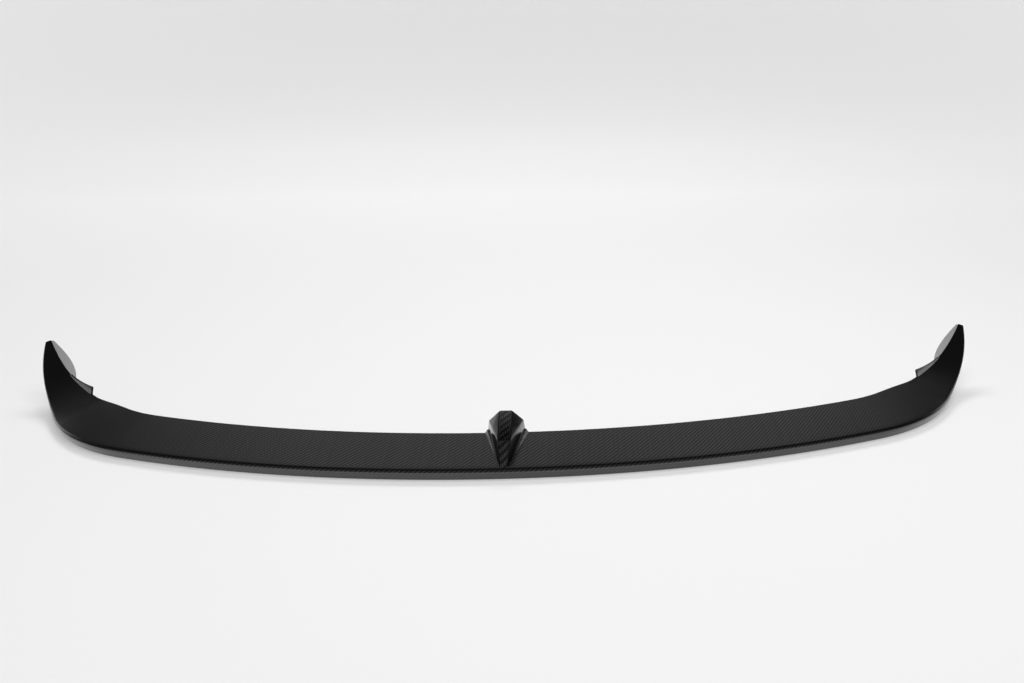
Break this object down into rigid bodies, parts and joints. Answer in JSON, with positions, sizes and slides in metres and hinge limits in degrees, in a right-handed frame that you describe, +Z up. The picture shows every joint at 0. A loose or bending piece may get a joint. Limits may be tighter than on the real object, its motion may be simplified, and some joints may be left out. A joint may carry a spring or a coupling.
{
  "type": "car spoiler",
  "caption": "One-piece front lip spoiler in woven carbon: a shallow curved blade with swept-up, tapering ends and a faceted keystone at its middle, bonded under a bumper.",
  "frame": {"origin": "centre of the bounding box in plan, at the height of the foot flange's underside", "axes": "+X to the part's right seen from behind the nose, +Y back from the nose to the tips, +Z up"},
  "size_m": [1.7162, 0.4094, 0.1031],
  "materials": {
    "carbon": "woven carbon twill under clear coat"
  },
  "bodies": {
    "root": {"spoiler_shell": "carbon"}
  },
  "joints": []
}
